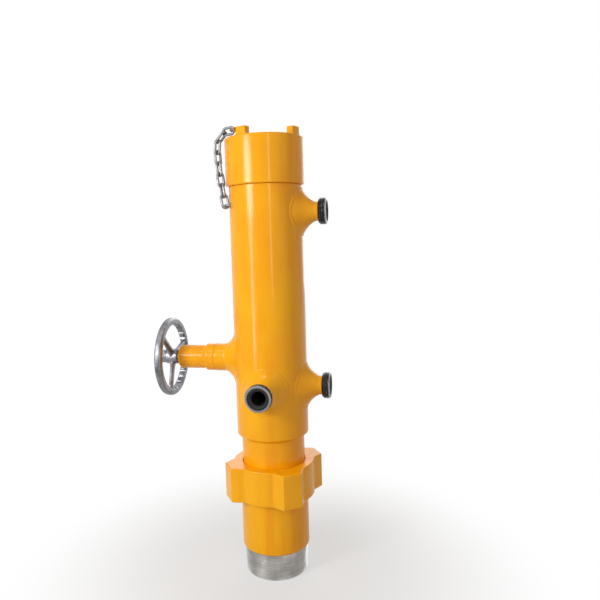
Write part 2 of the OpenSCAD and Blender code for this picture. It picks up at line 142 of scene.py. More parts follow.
class Shape:
    """A mesh under way, with the operations that a maker would use on it."""

    SUPPORT = 4.0
    BEND, SPREAD = 0.3, 0.4

    def __init__(self) -> None:
        """Starts with nothing."""
        self.bm = bmesh.new()

    def everything(self) -> list:
        """Lists all points, edges and faces."""
        return [*self.bm.verts, *self.bm.edges, *self.bm.faces]

    def soften(self, geometry: list, offset: float, segments: int, kind: str = "VERTICES") -> None:
        """Rounds points or edges off."""
        bmesh.ops.bevel(self.bm, geom=geometry, offset=offset, offset_type="OFFSET", segments=segments,
                        profile=0.5, affect=kind, material=-1)

    def string(self, run: list[BMVert], closed: bool) -> None:
        """Joins points in their order by edges, and the last one to the first if closed."""
        for v, w in zip(run, run[1:] + run[:1] if closed else run[1:]):
            self.bm.edges.new((v, w))

    def wire(self, outline: Outline, closed: bool, segments: int) -> None:
        """Draws a section with its corners rounded.

        Args:
            outline: The section's corners in order.
            closed: Whether the last corner joins the first.
            segments: Steps in each rounded corner.
        """
        full = [(*corner, 0.0)[:3] for corner in outline]
        corners = [self.bm.verts.new((r, 0, h)) for r, h, _ in full]
        run: list[BMVert] = []
        for index, start in enumerate(full):
            run.append(corners[index])
            if index == len(full) - 1 and not closed:
                break
            stop = full[(index + 1) % len(full)]
            a, b = Vector(start[:2]), Vector(stop[:2])
            span = (b - a).length
            lead, tail = start[2] + self.SUPPORT, stop[2] + self.SUPPORT
            if span > lead + tail + self.SUPPORT:
                for share in (lead / span, 1 - tail / span):
                    r, h = a.lerp(b, share)
                    run.append(self.bm.verts.new((r, 0, h)))
        self.string(run, closed)
        for vert, (_, _, rounding) in zip(corners, full):
            if rounding > 0:
                self.soften([vert], rounding, segments)

    def spin(self, steps: int, lead: float = 0.0) -> None:
        """Sweeps all wire once round the axis.

        Args:
            steps: Steps in the turn.
            lead: Rise along the axis in the turn.
        """
        bmesh.ops.spin(self.bm, geom=self.everything(), cent=(0, 0, 0), axis=UP, dvec=(0, 0, lead / steps),
                       angle=math.tau, steps=steps, use_merge=lead == 0.0)
        self.close_up()

    def close_up(self, gap: float = NEAR) -> "Shape":
        """Merges points that coincide and turns all faces outwards.

        Args:
            gap: Largest distance between points that are merged.

        Returns:
            This shape.
        """
        bmesh.ops.remove_doubles(self.bm, verts=self.bm.verts, dist=gap)
        bmesh.ops.recalc_face_normals(self.bm, faces=self.bm.faces)
        return self

    @classmethod
    def turned(cls, outline: Outline, steps: int = 128, closed: bool = True, segments: int = 4) -> "Shape":
        """Turns a section on the lathe.

        Args:
            outline: The section's corners.
            steps: Steps in the turn.
            closed: Whether the section is a closed loop.
            segments: Steps in each rounded corner.

        Returns:
            The turned shape.
        """
        shape = cls()
        shape.wire(outline, closed, segments)
        shape.spin(steps)
        return shape

    @classmethod
    def thread(cls, crest: float, depth: float, pitch: float, low: float, high: float, steps: int = 96,
               starts: int = 1, limit: Optional[Callable[[float], float]] = None) -> "Shape":
        """Cuts a screw thread between two flat ends.

        Args:
            crest: Radius over the crests.
            depth: Depth of the thread.
            pitch: Distance from tooth to tooth.
            low: Height of the lower end.
            high: Height of the upper end.
            steps: Steps in one turn.
            starts: Number of thread starts.
            limit: Largest radius at a height, where the ends are chamfered.

        Returns:
            The thread's skin, open at both ends.
        """
        shape = cls()
        lead = pitch * starts
        root = crest - depth
        tooth = ((0, root), (0.13, root), (0.35, crest), (0.5, crest), (0.65, crest), (0.87, root))
        points = [(r, low - lead + (lap + at) * pitch) for lap in range(starts) for at, r in tooth]
        shape.string([shape.bm.verts.new((r, 0, h)) for r, h in [*points, (root, low)]], False)
        shape.spin(steps, lead)
        band = shape.everything()
        for lap in range(1, math.ceil((high - low) / lead) + 1):
            copy = bmesh.ops.duplicate(shape.bm, geom=band)["geom"]
            bmesh.ops.translate(shape.bm, vec=(0, 0, lap * lead), verts=only(BMVert, copy))
        shape.close_up()
        for height, side in ((low, -1), (high, 1)):
            shape.cut((0, 0, height), (0, 0, side), True)
        if limit is not None:
            shape.reshape(lambda p: cls.at_radius(p, min(reach(p), limit(p.z))))
        return shape

    @staticmethod
    def at_radius(p: Vector, radius: float) -> Vector:
        """Moves a point to a radius, straight out from the axis."""
        share = radius / max(reach(p), 1e-9)
        return Vector((p.x * share, p.y * share, p.z))

    def cut(self, point: Sequence[float], normal: Sequence[float], clear: bool = False) -> None:
        """Cuts all faces along a plane and can clear what lies in front of it."""
        bmesh.ops.bisect_plane(self.bm, geom=self.everything(), dist=1e-4, plane_co=point, plane_no=normal,
                               clear_outer=clear)

    def reshape(self, rule: Callable[[Vector], Vector]) -> "Shape":
        """Moves every point by a rule.

        Args:
            rule: Gives a point's new place.

        Returns:
            This shape.
        """
        for vert in self.bm.verts:
            vert.co = rule(vert.co)
        return self

    def place(self, matrix: Matrix) -> "Shape":
        """Moves the whole shape and gives it back."""
        bmesh.ops.transform(self.bm, matrix=matrix, verts=self.bm.verts)
        return self

    def mesh(self, name: str) -> bpy.types.Mesh:
        """Writes the shape, which is used up, to a mesh.

        Args:
            name: Name of the mesh.

        Returns:
            The mesh.
        """
        mesh = bpy.data.meshes.new(name)
        self.bm.to_mesh(mesh)
        self.bm.free()
        return mesh

    def join(self, other: "Shape") -> "Shape":
        """Takes in another shape.

        Args:
            other: The other shape, which is used up.

        Returns:
            This shape.
        """
        lump = other.mesh("lump")
        self.bm.from_mesh(lump)
        bpy.data.meshes.remove(lump)
        return self

    def bridge(self, low: float, high: float) -> "Shape":
        """Joins the two open rims between two heights.

        Args:
            low: The lower height.
            high: The upper height.

        Returns:
            This shape.
        """
        rims = [e for e in self.bm.edges if e.is_boundary and all(low <= v.co.z <= high for v in e.verts)]
        bmesh.ops.bridge_loops(self.bm, edges=rims)
        return self

    def fill(self) -> "Shape":
        """Closes every open rim with a face.

        Returns:
            This shape.
        """
        bmesh.ops.holes_fill(self.bm, edges=[e for e in self.bm.edges if e.is_boundary], sides=0)
        bmesh.ops.recalc_face_normals(self.bm, faces=self.bm.faces)
        return self

    def drill(self, tool: "Shape") -> "Shape":
        """Cuts another closed shape out of this one.

        Args:
            tool: The other shape, which is used up.

        Returns:
            This shape.
        """
        pair = [linked("blank", shape.mesh("blank")) for shape in (self, tool)]
        cut = pair[0].modifiers.new("cut", "BOOLEAN")
        cut.operation, cut.solver, cut.object = "DIFFERENCE", "EXACT", pair[1]
        graph = bpy.context.evaluated_depsgraph_get()
        result = bpy.data.meshes.new_from_object(pair[0].evaluated_get(graph))
        self.bm = bmesh.new()
        self.bm.from_mesh(result)
        for blank in pair:
            mesh = blank.data
            bpy.data.objects.remove(blank)
            bpy.data.meshes.remove(mesh)
        bpy.data.meshes.remove(result)
        return self

    def line(self, inside: Callable[[Vector], bool]) -> "Shape":
        """Leaves some faces without paint, in dark steel that also stands in for painted shade inside the
        bores.

        Args:
            inside: Tells whether a face with this middle is bare.

        Returns:
            This shape.
        """
        for face in self.bm.faces:
            if inside(face.calc_center_median()):
                face.material_index = 1
        return self

    def mark_edges(self) -> None:
        """Stores how far each point stands out on an edge or lies in a corner, for wear, stains, and painted
        shade and dirt in creases.
        """
        proud = self.bm.verts.layers.float.new("proud")
        hollow = self.bm.verts.layers.float.new("hollow")
        for vert in self.bm.verts:
            bends = [e.calc_face_angle_signed(0.0) for e in vert.link_edges if e.is_manifold]
            for layer, bend in ((proud, max(bends, default=0.0)), (hollow, -min(bends, default=0.0))):
                vert[layer] = min(1.0, max(0.0, (bend - self.BEND) / self.SPREAD))


class Wiring:
    """Nodes of one material or world, made one at a time."""

    def __init__(self, holder: Union[bpy.types.Material, bpy.types.World]) -> None:
        """Clears the nodes.

        Args:
            holder: The new material or world.
        """
        holder.use_nodes = True
        self.holder = holder
        self.tree = holder.node_tree
        self.tree.nodes.clear()

    def node(self, kind: str, settings: Optional[dict] = None, inputs: Optional[dict] = None,
             output: Union[int, str] = 0) -> "Value":
        """Adds one node.

        Args:
            kind: The node's type.
            settings: Its settings, set first.
            inputs: Values or links of its sockets, by name or number.
            output: The output that is handed back.

        Returns:
            The chosen output.
        """
        made = self.tree.nodes.new(kind)
        for key, setting in (settings or {}).items():
            setattr(made, key, setting)
        for key, value in (inputs or {}).items():
            socket = made.inputs[key]
            if isinstance(value, Value):
                self.tree.links.new(value.socket, socket)
            else:
                socket.default_value = (*value, 1.0) if socket.type == "RGBA" else value
        return Value(self, made.outputs[output] if made.outputs else None)

    def seen(self) -> "Value":
        """Gives 1 for rays that show the background: from the camera, or by way of metal or glass."""
        camera, glossy, through = (self.node("ShaderNodeLightPath", output=f"Is {kind} Ray")
                                   for kind in ("Camera", "Glossy", "Transmission"))
        return camera + glossy + through

    def place(self) -> "Value":
        """Gives the point's place on the piece, in metres."""
        return self.node("ShaderNodeTexCoord", output="Object")

    def stretched(self, scale: Triple) -> "Value":
        """Gives the point's place, stretched by a scale along each axis."""
        return self.node("ShaderNodeMapping", inputs={"Vector": self.place(), "Scale": scale})

    def noise(self, scale: float, detail: float = 3.0, rough: float = 0.55,
              where: Optional["Value"] = None) -> "Value":
        """Adds a cloudy pattern of so many clouds in a metre, with values round one half."""
        return self.node("ShaderNodeTexNoise", inputs={
            "Vector": where or self.place(), "Scale": scale, "Detail": detail, "Roughness": rough})

    def step(self, value: "Value", low: float, high: float) -> "Value":
        """Gives 0 below low, 1 above high and a smooth rise between."""
        return self.node("ShaderNodeMapRange", {"interpolation_type": "SMOOTHSTEP"},
                         {"Value": value, "From Min": low, "From Max": high})

    def mark(self, name: str) -> "Value":
        """Reads a number stored on the mesh."""
        return self.node("ShaderNodeAttribute", {"attribute_name": name}, output="Fac")

    def blend(self, share: "Value", first: Union["Value", Colour], second: Colour) -> "Value":
        """Mixes a share of the second colour into the first."""
        return self.node("ShaderNodeMix", {"data_type": "RGBA", "clamp_factor": True},
                         {0: share, 6: first, 7: second}, 2)

    def bump(self, height: "Value", depth: float, strength: float) -> "Value":
        """Turns a height, with its depth in metres, into a bent normal."""
        return self.node("ShaderNodeBump", inputs={"Height": height, "Distance": depth, "Strength": strength})

    def surface(self, **inputs: Union[Number, Colour]) -> bpy.types.Material:
        """Ends the material with its shader.

        Args:
            inputs: Sockets by name, with underscores for spaces.

        Returns:
            The material.
        """
        named = {key.replace("_", " "): value for key, value in inputs.items()}
        shader = self.node("ShaderNodeBsdfPrincipled", inputs=named)
        self.node("ShaderNodeOutputMaterial", inputs={"Surface": shader})
        return self.holder


@dataclass(frozen=True)
class Value:
    """A socket that takes part in sums."""

    wiring: Wiring
    socket: Optional[bpy.types.NodeSocket]

    def _math(self, operation: str, first: Number, second: Number) -> "Value":
        """Adds one Math node on two values."""
        return self.wiring.node("ShaderNodeMath", {"operation": operation}, {0: first, 1: second})

    def __add__(self, other: Number) -> "Value":
        """Adds."""
        return self._math("ADD", self, other)

    __radd__ = __add__

    def __sub__(self, other: Number) -> "Value":
        """Takes away."""
        return self._math("SUBTRACT", self, other)

    def __rsub__(self, other: float) -> "Value":
        """Takes this away from a number."""
        return self._math("SUBTRACT", other, self)

    def __mul__(self, other: Number) -> "Value":
        """Multiplies."""
        return self._math("MULTIPLY", self, other)

    def larger(self, other: Number) -> "Value":
        """Takes the larger of two values."""
        return self._math("MAXIMUM", self, other)


@dataclass(frozen=True)
class Enamel:
    """Glossy paint over steel, with runs that partly stand in for painted reflection streaks, painted shade
    and dirt in creases, and small chips.
    """

    name: str
    slot: Slot = Slot.ENAMEL
    fresh: Colour = tone(253, 182, 2)
    deep: Colour = tone(250, 170, 1)
    warm: Colour = tone(241, 146, 2)
    primer: Colour = tone(120, 82, 34)
    # Darker orange for creases, used as painted shade mixed with dirt.
    shade_and_grime: Colour = tone(150, 92, 12)
    chips: float = 0.12

    def material(self) -> bpy.types.Material:
        """Builds the paint.

        Returns:
            The material.
        """
        w = Wiring(bpy.data.materials.new(self.name))
        cloud = w.noise(4.0, 4.0)
        mottle = w.noise(38.0, 5.0, 0.62)
        runs = w.noise(1.0, 4.0, 0.6, w.stretched((26.0, 26.0, 1.6)))
        peel = w.noise(330.0, 2.0, 0.5)
        flecks = w.noise(120.0, 6.0, 0.7)
        base = w.blend(w.step(cloud, 0.36, 0.66), self.fresh, self.deep)
        # Vertical paint runs, made strong so that they also stand in for painted reflection streaks.
        base = w.blend(w.step(runs, 0.46, 0.74) * 0.55, base, self.warm)
        base = w.blend(w.step(mottle, 0.6, 0.85) * 0.25, base, self.warm)
        # Darker and rougher in creases: painted shade, mixed with dirt where the mottle is high.
        crease_shade_and_dirt = w.mark("hollow") * w.step(mottle, 0.3, 0.62)
        base = w.blend(crease_shade_and_dirt * 0.45, base, self.shade_and_grime)
        chip = w.step(w.mark("proud") * self.chips + flecks, 0.82, 0.86)
        chip = chip * w.step(w.mark("proud"), 0.15, 0.5)
        base = w.blend(chip, base, self.primer)
        rough = 0.24 + mottle * 0.16 + crease_shade_and_dirt * 0.3 + chip * 0.25
        height = peel * 0.35 + cloud * 0.4 - chip * 0.5
        return w.surface(Base_Color=base, Roughness=rough, Normal=w.bump(height, 0.0006, 0.3), IOR=1.5,
                         Specular_IOR_Level=0.06, Coat_Weight=0.4 - chip * 0.35, Coat_Roughness=0.14)


@dataclass(frozen=True)
class BlackCoat:
    """Black coating on union ends, worn bright on the crests."""

    name: str
    slot: Slot = Slot.UNION
    coat: Colour = tone(16, 15, 17)
    faded: Colour = tone(30, 29, 31)
    bare: Colour = tone(158, 157, 158)

    def material(self) -> bpy.types.Material:
        """Builds the coating.

        Returns:
            The material.
        """
        w = Wiring(bpy.data.materials.new(self.name))
        cloud = w.noise(22.0, 5.0, 0.6)
        flecks = w.noise(170.0, 5.0, 0.7)
        worn = w.step(w.mark("proud") * 0.2 + flecks, 0.7, 0.8) * w.step(w.mark("proud"), 0.1, 0.6)
        worn = worn.larger(w.mark("worn") * w.step(flecks + cloud * 0.5, 0.45, 0.75))
        base = w.blend(w.step(cloud, 0.4, 0.72), self.coat, self.faded)
        base = w.blend(worn, base, self.bare)
        rough = 0.26 + cloud * 0.22 - worn * 0.06
        return w.surface(Base_Color=base, Roughness=rough, Metallic=worn * 0.9, Specular_IOR_Level=0.3,
                         Normal=w.bump(flecks - worn * 0.6, 0.0004, 0.3))


@dataclass(frozen=True)
class Rubber:
    """Dull black rubber with a fine bloom."""

    name: str
    slot: Slot = Slot.SEAL
    body: Colour = tone(18, 17, 19)
    bloom: Colour = tone(40, 38, 39)

    def material(self) -> bpy.types.Material:
        """Builds the rubber.

        Returns:
            The material.
        """
        w = Wiring(bpy.data.materials.new(self.name))
        cloud = w.noise(60.0, 5.0, 0.6)
        grain = w.noise(900.0, 2.0)
        base = w.blend(w.step(cloud, 0.5, 0.8) * 0.6, self.body, self.bloom)
        return w.surface(Base_Color=base, Roughness=0.55 + cloud * 0.2, Normal=w.bump(grain, 0.0002, 0.3))


@dataclass(frozen=True)
class Metal:
    """Bare or plated metal with tool marks, stains and scratches."""

    name: str
    slot: Slot
    bright: Colour
    dull: Colour
    stain: Colour
    rough: float
    stained: float
    grain: Triple
    mark_depth: float = 0.0002

    def material(self) -> bpy.types.Material:
        """Builds the metal.

        Returns:
            The material.
        """
        w = Wiring(bpy.data.materials.new(self.name))
        cloud = w.noise(16.0, 5.0, 0.62)
        lines = w.noise(1.0, 3.0, 0.6, w.stretched(self.grain))
        flecks = w.noise(210.0, 5.0, 0.65)
        base = w.blend(w.step(lines * 0.6 + cloud * 0.4, 0.36, 0.66), self.bright, self.dull)
        spots = w.step(cloud + w.mark("hollow") * 0.3 + flecks * 0.3, 0.74, 0.95) * self.stained
        base = w.blend(spots, base, self.stain)
        base = w.blend(w.mark("proud") * w.step(flecks, 0.35, 0.6) * 0.3, base, self.bright)
        rough = self.rough + lines * 0.14 + spots * 0.3
        return w.surface(Base_Color=base, Roughness=rough, Metallic=1.0 - spots * 0.7,
                         Normal=w.bump(lines * 0.7 + flecks * 0.3, self.mark_depth, 0.4))


Finish = Union[Enamel, BlackCoat, Rubber, Metal]


class Finishes:
    """All finishes of the head, each built once."""

    def __init__(self) -> None:
        """Builds the materials."""
        self.enamel = Enamel("golden_enamel")
        self.struck = Enamel("struck_enamel", chips=0.24)
        self.union = BlackCoat("black_union_coat")
        self.rubber = Rubber("seal_ring_rubber")
        self.zinc = Metal("zinc_plate", Slot.ZINC, tone(156, 156, 160), tone(108, 108, 112), tone(92, 80, 70),
                          rough=0.3, stained=0.35, grain=(160.0, 160.0, 160.0))
        self.chrome = Metal("polished_wheel", Slot.CHROME, tone(144, 144, 150), tone(96, 95, 96),
                            tone(70, 66, 60), rough=0.29, stained=0.1, grain=(60.0, 24.0, 24.0),
                            mark_depth=0.00003)
        self.stem = Metal("turned_stem", Slot.STEM, tone(206, 207, 209), tone(150, 150, 151),
                          tone(92, 78, 60), rough=0.2, stained=0.4, grain=(900.0, 12.0, 12.0))
        self.bare = Metal("bare_casing_thread", Slot.THREAD, tone(222, 221, 219), tone(176, 175, 173),
                          tone(140, 122, 100), rough=0.3, stained=0.3, grain=(10.0, 10.0, 700.0))
        # Unpainted steel inside the bores, made dark so that it also stands in for painted shade deep in the
        # bores.
        self.bore = Metal("bore_steel_with_painted_shade", Slot.THREAD, tone(92, 90, 87), tone(58, 56, 54),
                          tone(62, 48, 36), rough=0.45, stained=0.6, grain=(14.0, 14.0, 60.0))
        self.made = {f.name: f.material() for f in vars(self).values()}

    def of(self, finish: Finish) -> bpy.types.Material:
        """Gives the material of a finish."""
        return self.made[finish.name]


FINISHES = Finishes()


def hand_over(name: str, shape: Shape, node: Optional[str], finish: Finish = FINISHES.enamel,
              body: Body = Body.HEAD, crease: float = 38.0) -> None:
    """Makes a piece of a finished shape and fixes it to its body.

    Args:
        name: Name of the piece.
        shape: The finished shape, which is used up.
        node: The solid that it stands for, if any.
        finish: Its finish.
        body: The body that carries it.
        crease: Degrees above which an edge stays sharp.
    """
    shape.mark_edges()
    bmesh.ops.scale(shape.bm, vec=(MM, MM, MM), verts=shape.bm.verts)
    mesh = shape.mesh(name)
    mesh.shade_smooth()
    mesh.set_sharp_from_angle(angle=math.radians(crease))
    mesh.materials.append(FINISHES.of(finish))
    if any(p.material_index for p in mesh.polygons):
        mesh.materials.append(FINISHES.of(FINISHES.bore))
    piece = linked(name, mesh)
    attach(piece, body.value)
    if node:
        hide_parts(node)
    LOG.info("%s: %d faces on %s", name, len(mesh.polygons), body.value)


@dataclass
class Container:
    """The container body, its cap and the cap's lugs."""

    bore_r: float = 110.5
    outer_r: float = BODY_R
    low: float = BODY_LOW
    shoulder: float = 1477.0
    drop: float = 0.8
    top: float = 1581.0
    stub_r: float = 129.0
    chamfer: float = 7.0
    cap_r: float = 146.0
    cap_top: float = 1649.0
    cap_edge: float = 3.0
    cap_gap: float = 6.0
    lug_size: Triple = (43.0, 26.0, 28.0)
    lug_azimuth: float = 67.0
    lug_edge: float = 2.6
    lug_weld: Pair = (4.0, 5.0)
    drilled: Pair = (70.0, 160.0)
    ring_off: float = 52.0
    holes: Sequence[Triple] = (
        (0.0, LOW_OUTLET, OUTLET_BORE), (90.0, LOW_OUTLET, OUTLET_BORE), (90.0, HIGH_OUTLET, OUTLET_BORE),
        (PIN_SIDE, PIN_HEIGHT, 25.6))

    def body(self) -> Shape:
        """Turns the body and drills its side holes.

        Returns:
            The body, with its bores left bare.
        """
        bore, outer, step = self.bore_r, self.outer_r, self.shoulder - self.drop
        rings = sorted({h + s * self.ring_off for _, h, _ in self.holes for s in (-1, 1)})
        shape = Shape.turned([
            (bore, self.low, 1.5), (outer - self.chamfer, self.low, 1.5),
            (outer, self.low + self.chamfer, 2.0), *[(outer, h) for h in rings], (outer, step, self.drop),
            (self.stub_r, step), (self.stub_r, self.top, 2.0), (bore, self.top, 1.5),
            *[(bore, h) for h in reversed(rings)]], LATHE_STEPS)
        drills = Shape()
        for azimuth, height, radius in self.holes:
            drill = Shape.turned([(radius, h) for h in self.drilled], 64, closed=False).fill()
            drills.join(drill.place(toward(azimuth, height)))

        def inside(p: Vector) -> bool:
            """Tells the bores' walls."""
            return reach(p) < bore + 1 or (p.z > self.low + 10 and reach(p) < outer - 1)

        return shape.drill(drills).line(inside)

    def cap(self) -> Shape:
        """Turns the cap.

        Returns:
            The cap.
        """
        inner, roof = self.stub_r + 0.3, self.top + self.cap_gap
        rim, edge = self.cap_r, self.cap_edge
        return Shape.turned([
            (0, roof), (inner, roof, 1.0), (inner, self.shoulder), (rim - edge, self.shoulder, 1.2),
            (rim, self.shoulder + edge, 1.2), (rim, self.cap_top - edge, 1.2),
            (rim - edge, self.cap_top, 1.2), (0, self.cap_top)], LATHE_STEPS, closed=False)

    def lug(self, azimuth: float) -> Shape:
        """Shapes one lug, its faces curved with the cap and its foot welded on.

        Args:
            azimuth: Where it stands on the cap.

        Returns:
            The lug in place.
        """
        width, thick, height = self.lug_size
        swell, weld = self.lug_weld
        shape = Shape()
        bmesh.ops.create_cube(shape.bm, size=1.0)
        shape.place(Matrix.Translation((0, 0, height / 2)) @ Matrix.Diagonal((width, thick, height, 1)))
        sharp = [e for e in shape.bm.edges if max(v.co.z for v in e.verts) > 1]
        shape.soften(sharp, self.lug_edge, 3, "EDGES")
        for i in range(-5, 6):
            shape.cut((i * width / 12, 0, 0), (1, 0, 0))
        for h in (2, weld):
            shape.cut((0, 0, h), UP)
        middle = self.cap_r - self.cap_edge - thick / 2

        def bend(p: Vector) -> Vector:
            """Swells the foot into a weld and bends the block round the cap.

            Args:
                p: A point of the block.

            Returns:
                Its place on the cap.
            """
            toe = swell * max(0.0, 1 - p.z / weld) ** 1.5
            x = p.x + math.copysign(toe, p.x) * min(1.0, abs(p.x) / (width / 2))
            y = p.y + (toe if p.y > 0 else 0.0) * min(1.0, abs(p.y) / (thick / 2))
            r = middle - y
            return Vector((x, -math.sqrt(r * r - x * x), p.z + self.cap_top))

        return shape.reshape(bend).place(turn(azimuth))

    def dress(self) -> None:
        """Hands over the body, the cap and the lugs."""
        hand_over("container_shell", self.body(), "container_body")
        hand_over("screwed_cap", self.cap(), "top_cap")
        for index, side in enumerate(("right", "back", "left", "front")):
            lug = self.lug(self.lug_azimuth + 90 * index)
            hand_over(f"hammer_lug_{side}", lug, f"cap_lug_{side}", FINISHES.struck)


@dataclass
class Flare:
    """A boss that rises from a saddle on the body to a round neck, with its weld."""

    base_r: float
    neck_r: float
    rise: float
    neck: float
    bore_r: float
    lip: float = 1.5
    body_r: float = BODY_R
    slope: Pair = (36.0, 74.0)
    toe: float = 2.5
    root: float = -8.0
    rings: int = 14
    bead: float = 8.0
    sunk: float = 4.9
    bead_out: float = 0.6
    ripple_length: float = 6.5
    ripple_depth: float = 0.03
    ripple_steps: int = 5
    bead_sides: int = 32
    steps: int = 120

    def saddle(self, x: float) -> float:
        """Height of the body's skin at a distance from the branch's plane."""
        return math.sqrt(max(self.body_r ** 2 - x * x, 0.0))

    def lifted(self, p: Vector) -> Vector:
        """Lays a point of the flat boss on the body.

        Args:
            p: The point.

        Returns:
            Its place on the body.
        """
        foot = self.saddle(p.x) + self.toe
        if p.z <= 0:
            return Vector((p.x, p.y, foot + p.z))
        if p.z >= self.rise:
            return Vector((p.x, p.y, self.body_r + p.z))
        neck_x = p.x / reach(p) * self.neck_r
        span = self.body_r + self.rise - self.saddle(neck_x) - self.toe
        return Vector((p.x, p.y, foot + span * p.z / self.rise))

    def cheek(self) -> Outline:
        """Draws the hollow cheek of the flat boss.

        Returns:
            Its corners, from the foot to the neck.
        """
        a, b = (math.radians(s) for s in self.slope)
        points = []
        for k in range(self.rings + 1):
            t = a + (b - a) * k / self.rings
            inward = (math.sin(t) - math.sin(a)) / (math.sin(b) - math.sin(a))
            upward = (math.cos(a) - math.cos(t)) / (math.cos(a) - math.cos(b))
            points.append((self.base_r + (self.neck_r - self.base_r) * inward, upward * self.rise))
        return points

    def build(self) -> Shape:
        """Turns the flat boss, lays it on the body and runs the weld round its foot.

        Returns:
            The boss along Z, with its bore left bare.
        """
        end = self.rise + self.neck
        boss = Shape.turned([
            (self.bore_r, self.root), (self.base_r, self.root), *self.cheek(), (self.neck_r, end, self.lip),
            (self.bore_r, end, 0.8)], self.steps).reshape(self.lifted)
        return boss.line(lambda p: reach(p) < self.bore_r + 0.5).join(self.weld())

    def weld(self) -> Shape:
        """Runs a rippled bead round the foot.

        Returns:
            The bead.
        """
        middle = self.base_r + self.bead_out
        ripples = round(math.tau * middle / self.ripple_length)
        shape = Shape()
        bmesh.ops.create_circle(shape.bm, segments=self.bead_sides, radius=self.bead)
        shape.place(Matrix.Translation((middle, 0, -self.sunk)) @ turn(90, "X"))
        shape.spin(ripples * self.ripple_steps)

        def ripple(p: Vector) -> Vector:
            """Waves the bead and drops it on the body's skin.

            Args:
                p: A point of the plain bead.

            Returns:
                Its new place.
            """
            at = math.atan2(p.y, p.x)
            swell = 1 + self.ripple_depth * math.sin(at * ripples) + self.ripple_depth * math.sin(at * 7 + 1)
            flat = Shape.at_radius(p, middle + (reach(p) - middle) * swell)
            return Vector((flat.x, flat.y, self.saddle(flat.x) - self.sunk + (p.z + self.sunk) * swell))

        return shape.reshape(ripple)


@dataclass
class SideOutlet:
    """One side outlet: a welded boss, a threaded union end and its seal ring."""

    side: str
    azimuth: float
    height: float
    bore_r: float = OUTLET_BORE
    base_r: float = 82.0
    neck_r: float = 35.5
    rise: float = 50.0
    neck: float = 11.0
    union_at: float = 197.5
    face_at: float = 227.5
    union_r: float = 49.0
    union_back: float = 7.0
    union_edge: float = 4.0
    pitch: float = 8.47
    thread_depth: float = 2.0
    seal_r: float = 37.0
    seal_depth: float = 17.0
    worn_rim: float = 4.0
    wear: float = 0.9

    def union(self) -> Shape:
        """Cuts the union's thread and closes it with the turned seat.

        Returns:
            The union end along Z, with the wear of its rim stored on it.
        """
        back, face, seat = self.union_at, self.face_at, self.face_at - self.seal_depth
        rear, front = self.union_r - self.union_back, self.union_r - self.union_edge

        def chamfers(h: float) -> float:
            """Largest radius at a height."""
            return min(self.union_r, rear + (h - back), front + (face - h))

        shape = Shape.thread(self.union_r, self.thread_depth, self.pitch, back, face, limit=chamfers)
        shape.join(Shape.turned([
            (rear - 1, back), (self.bore_r, back), (self.bore_r, seat), (self.seal_r, seat),
            (self.seal_r, face, 0.8), (front - 1, face)], 96, closed=False))
        shape.bridge(back - NEAR, back + NEAR).bridge(face - NEAR, face + NEAR).close_up()
        worn = shape.bm.verts.layers.float.new("worn")
        for v in shape.bm.verts:
            on_rim = v.co.z > face - self.union_edge and reach(v.co) > self.seal_r + self.worn_rim
            v[worn] = self.wear if on_rim else 0.0
        return shape

    def seal(self) -> Shape:
        """Turns the seal ring with its rounded lip.

        Returns:
            The ring along Z.
        """
        face, seat, outer = self.face_at, self.face_at - self.seal_depth, self.seal_r - 0.15
        return Shape.turned([
            (self.bore_r, seat), (outer, seat), (outer, face - 3, 1.5), (outer - 3, face - 1, 1.2),
            (self.bore_r, seat + 6, 1.5)], 96)

    def dress(self) -> None:
        """Hands over the boss, the union and the seal."""
        place = toward(self.azimuth, self.height)
        node = f"{self.side}_outlet"
        boss = Flare(self.base_r, self.neck_r, self.rise, self.neck, self.bore_r).build()
        hand_over(f"{node}_flare", boss.place(place), f"{node}_boss")
        hand_over(f"{node}_thread_end", self.union().place(place), f"{node}_union", FINISHES.union)
        hand_over(f"{node}_seal_ring", self.seal().place(place), f"{node}_seal", FINISHES.rubber)


